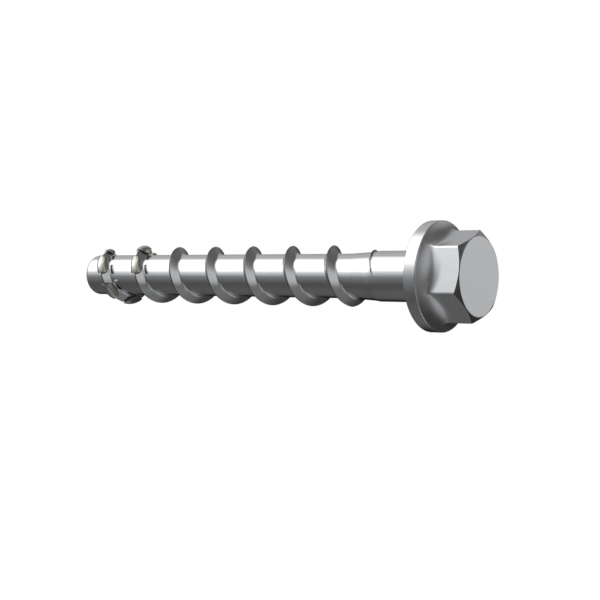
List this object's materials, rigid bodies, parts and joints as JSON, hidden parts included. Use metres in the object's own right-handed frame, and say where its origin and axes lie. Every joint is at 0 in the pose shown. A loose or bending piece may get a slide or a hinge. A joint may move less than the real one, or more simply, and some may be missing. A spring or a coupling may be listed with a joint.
{
  "type": "concrete screw",
  "caption": "Self-cutting screw anchor for concrete, with a hexagon washer head, a plain shank, a coarse right-hand thread and cutting inserts near the tip.",
  "frame": {"origin": "centre of the head's flat top disc, on which the screw stands", "axes": "+Z along the shank, from the head to the tip; +Y through the middle of one of the hexagon's flats"},
  "size_m": [0.018, 0.018, 0.0836],
  "materials": {
    "plated_steel": "bright zinc plate, satin",
    "hard_steel": "darker hardened steel, satin"
  },
  "bodies": {
    "root": {"concrete_screw": "plated_steel", "cutting_insert_1": "hard_steel", "cutting_insert_2": "hard_steel", "cutting_insert_3": "hard_steel", "cutting_insert_4": "hard_steel", "cutting_insert_5": "hard_steel", "cutting_insert_6": "hard_steel", "cutting_insert_7": "hard_steel", "cutting_insert_8": "hard_steel"}
  },
  "joints": []
}
